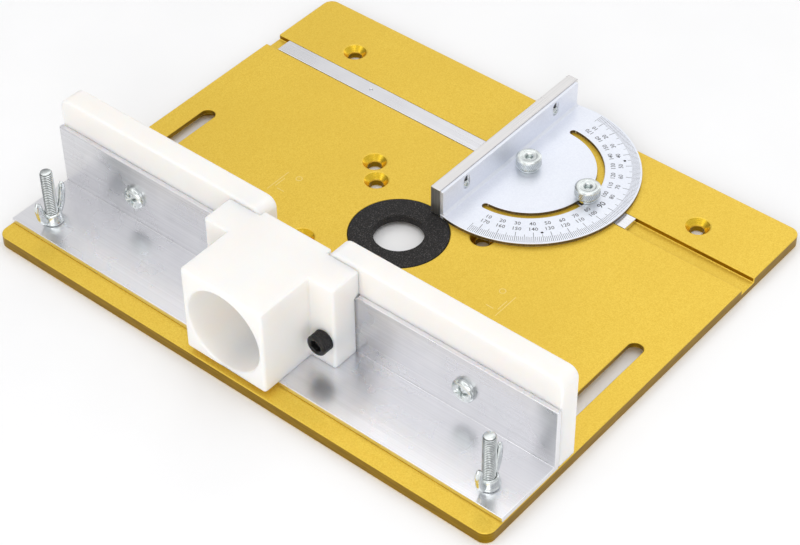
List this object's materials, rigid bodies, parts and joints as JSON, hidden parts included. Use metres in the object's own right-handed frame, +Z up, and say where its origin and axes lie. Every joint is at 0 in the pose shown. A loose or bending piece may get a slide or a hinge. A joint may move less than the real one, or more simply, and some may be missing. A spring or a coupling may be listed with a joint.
{
  "type": "router table",
  "caption": "Bench-top router table for a trim router: gold anodised plate with insert ring, sliding fence with white faces and dust port, and a mitre gauge in a groove.",
  "frame": {"origin": "middle of the plate's underside", "axes": "+X along the fence to the right, +Y from the fence towards the mitre groove, +Z up"},
  "size_m": [0.28, 0.2383, 0.0552],
  "materials": {
    "anodised_gold": "fine bead-blasted, gold anodised",
    "mill_aluminium": "bright mill finish",
    "satin_aluminium": "satin silver, printed scale",
    "white_plastic": "milky, satin",
    "black_plastic": "matte, speckled",
    "black_steel": "black oxide, satin",
    "zinc": "bright zinc plated"
  },
  "bodies": {
    "plate": {"base_plate": "anodised_gold", "insert_ring": "black_plastic"},
    "fence": {"fence_angle": "mill_aluminium", "left_fence_face": "white_plastic", "right_fence_face": "white_plastic", "dust_port": "white_plastic", "left_port_screw": "black_steel", "right_port_screw": "black_steel", "left_face_screw": "zinc", "right_face_screw": "zinc", "left_clamp_bolt": "zinc", "right_clamp_bolt": "zinc"},
    "left_nut": {"left_wing_nut": "zinc"},
    "right_nut": {"right_wing_nut": "zinc"},
    "gauge_bar": {"miter_bar": "mill_aluminium"},
    "gauge_head": {"protractor": "satin_aluminium"},
    "gauge_face": {"miter_face_bar": "mill_aluminium", "front_face_bar_screw": "zinc", "rear_face_bar_screw": "zinc"},
    "pivot": {"pivot_knob": "zinc", "pivot_washer": "zinc"},
    "lock": {"lock_knob": "zinc", "lock_washer": "zinc"}
  },
  "joints": [
    {"name": "fence_slide", "type": "slide", "parent": "plate", "child": "fence", "axis": [0, -1, 0], "range_m": [-0.07, 0.003]},
    {"name": "left_wing_nut_turn", "type": "hinge", "parent": "fence", "child": "left_nut", "pos_m": [-0.1246, -0.094, 0.0115], "axis": [0, 0, 1], "continuous": true},
    {"name": "right_wing_nut_turn", "type": "hinge", "parent": "fence", "child": "right_nut", "pos_m": [0.1246, -0.094, 0.0115], "axis": [0, 0, 1], "continuous": true},
    {"name": "gauge_slide", "type": "slide", "parent": "plate", "child": "gauge_bar", "axis": [1, 0, 0], "range_m": [-0.1, 0.09]},
    {"name": "gauge_turn", "type": "hinge", "parent": "gauge_bar", "child": "gauge_head", "pos_m": [0.0193, 0.0707, 0.0072], "axis": [0, 0, 1], "range_deg": [-80, 80]},
    {"name": "gauge_face_lift", "type": "slide", "parent": "gauge_head", "child": "gauge_face", "axis": [0, 0, 1], "range_m": [0, 0.003]},
    {"name": "pivot_knob_turn", "type": "hinge", "parent": "gauge_bar", "child": "pivot", "pos_m": [0.0193, 0.0707, 0.012], "axis": [0, 0, 1], "continuous": true},
    {"name": "lock_knob_turn", "type": "hinge", "parent": "gauge_bar", "child": "lock", "pos_m": [0.0528, 0.0707, 0.012], "axis": [0, 0, 1], "continuous": true}
  ]
}
